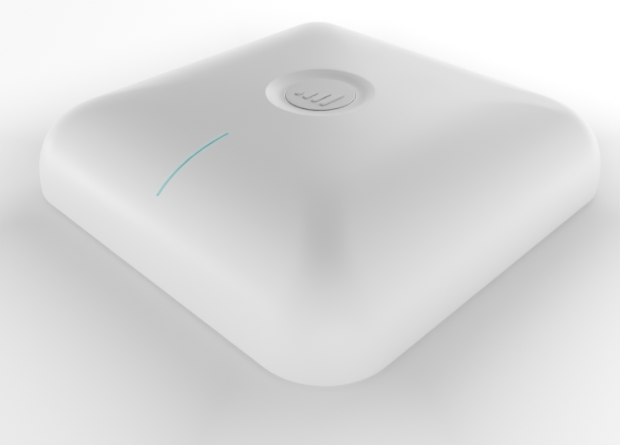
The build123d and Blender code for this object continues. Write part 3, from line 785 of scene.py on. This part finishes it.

# %% [markdown]
# ## The floor
# A bright white setting: the paper floor glows, most of all behind the object and towards the right, which is
# painted light, and the glow falls off close around the object as a painted shadow, where the object would shade
# it. The fall-off follows a square with its corners cut, like the case's outline. A glowing floor lights the
# sides from below, so they are lighter than the top.

# %% Floor
FLOOR_HALF = 6.0
FLOOR_GAP = 0.0002
CORNER_CUT = 0.63
SHADE_GLOW = 0.24
floor_mesh = bpy.data.meshes.new("floor")
floor_mesh.from_pydata(
    [(x * FLOOR_HALF, y * FLOOR_HALF, 0) for x, y in ((-1, -1), (1, -1), (1, 1), (-1, 1))], [], [(0, 1, 2, 3)]
)
floor = bpy.data.objects.new("floor", floor_mesh)
floor.location.z = cad_lo.z - FLOOR_GAP
bpy.context.scene.collection.objects.link(floor)
floor_paint, tree, bsdf = blank_material("floor_paper")
bsdf.inputs["Base Color"].default_value = (0.9, 0.9, 0.9, 1)
bsdf.inputs["Roughness"].default_value = 0.9
bsdf.inputs["Specular IOR Level"].default_value = 0.0
coord = node(tree, "ShaderNodeTexCoord")
parts = node(tree, "ShaderNodeSeparateXYZ")
link(tree, coord, "Object", parts, "Vector")
wide = maths(tree, "ABSOLUTE", (parts, "X"))
deep = maths(tree, "ABSOLUTE", (parts, "Y"))
straight = maths(tree, "MAXIMUM", (wide, "Value"), (deep, "Value"))
cornerwise = maths(tree, "ADD", (wide, "Value"), (deep, "Value"))
cornerwise = maths(tree, "MULTIPLY", (cornerwise, "Value"), CORNER_CUT)
reach = maths(tree, "MAXIMUM", (straight, "Value"), (cornerwise, "Value"))
depth = maths(tree, "SUBTRACT", (parts, "Y"), (parts, "X"))
side = maths(tree, "ADD", (parts, "Y"), (parts, "X"))
# Painted shadow: the glow drops to SHADE_GLOW close around the object. behind and rightward paint a brighter pool
# of light at the back and right.
away = ranged(tree, reach, "Value", 0.08, 0.175, 0.0, 1.0)
behind = ranged(tree, depth, "Value", -0.36, 0.12, 2.1, 11.5)
rightward = ranged(tree, side, "Value", -0.25, 0.25, 0.7, 2.05)
glow = maths(tree, "MULTIPLY", (behind, "Result"), (rightward, "Result"))
glow = maths(tree, "MULTIPLY", (glow, "Value"), (away, "Result"))
glow = maths(tree, "ADD", (glow, "Value"), SHADE_GLOW)
bsdf.inputs["Emission Color"].default_value = (1, 1, 1, 1)
link(tree, glow, "Value", bsdf, "Emission Strength")
floor_mesh.materials.append(floor_paint)
print("floor", 2 * FLOOR_HALF, "m square,", FLOOR_GAP / MM, "mm under the object")

# %% [markdown]
# ## The sky
# Bright along the horizon and nearly dark overhead, so that the flat top stays greyer than the shoulders. It is
# dimmer on the right, where the floor is brighter.

# %% Sky
OVERHEAD = 0.1
world = bpy.data.worlds.new("studio")
bpy.context.scene.world = world
world.use_nodes = True
tree = world.node_tree
coord = node(tree, "ShaderNodeTexCoord")
parts = node(tree, "ShaderNodeSeparateXYZ")
link(tree, coord, "Generated", parts, "Vector")
low_sky = ranged(tree, parts, "Z", 0.0, 0.36, 6.5, 0.0)
dim_side = ranged(tree, parts, "X", 0.1, 1.0, 1.0, 0.34)
sky = maths(tree, "MULTIPLY", (low_sky, "Result"), (dim_side, "Result"))
sky = maths(tree, "ADD", (sky, "Value"), OVERHEAD)
tree.nodes["Background"].inputs["Color"].default_value = (1, 1, 1, 1)
link(tree, sky, "Value", tree.nodes["Background"], "Strength")
print("sky", len(tree.nodes), "nodes")

# %% [markdown]
# ## Three soft lights
# One large light behind draws the far edges and the walls of the dish. Two long, low ones, well away from the
# object, light the two near sides almost level, so the shoulders keep a soft turn from light to grey.


# %% Lights
def soft_light(name, place, size, power):
    """A rectangular light in metres and watts that faces the origin."""
    data = bpy.data.lights.new(name, "AREA")
    data.shape = "RECTANGLE"
    data.size, data.size_y = size
    data.energy = power
    lamp = bpy.data.objects.new(name, data)
    lamp.location = place
    lamp.rotation_euler = (-Vector(place)).to_track_quat("-Z", "Y").to_euler()
    bpy.context.scene.collection.objects.link(lamp)
    print(name, power, "W")


soft_light("back_softbox", (-0.32, 0.9, 0.44), (0.7, 0.26), 16.8)
soft_light("left_softbox", (-1.65, -1.1, 0.07), (1.3, 0.12), 70.0)
soft_light("front_softbox", (1.63, -1.13, 0.17), (1.5, 0.3), 38.5)

# %% [markdown]
# ## The camera
# It stands close in front of a corner and looks down at the case, so the near corner looms a little. Its axes
# are built from where it looks, then turned by a fraction of a degree about that line.

# %% Camera
PLACE = (0.158494, -0.164141, 0.14141)
LOOK = (-0.57772, 0.57966, -0.57467)
LENS = 42.556
ROLL = math.radians(-0.224)
look = Vector(LOOK).normalized()
right_hand = look.cross(Vector((0, 0, 1))).normalized()
upward = right_hand.cross(look)
rolled_right = right_hand * math.cos(ROLL) + upward * math.sin(ROLL)
rolled_up = upward * math.cos(ROLL) - right_hand * math.sin(ROLL)
camera_data = bpy.data.cameras.new("camera")
camera_data.lens = LENS
camera_data.sensor_width = 36.0
camera_data.clip_start = 0.01
camera = bpy.data.objects.new("camera", camera_data)
turned = Matrix((rolled_right, rolled_up, -look)).transposed().to_4x4()
camera.matrix_world = Matrix.Translation(PLACE) @ turned
bpy.context.scene.collection.objects.link(camera)
bpy.context.scene.camera = camera
print("camera", round(camera.location.length, 3), "m from the origin, lens", LENS, "mm")
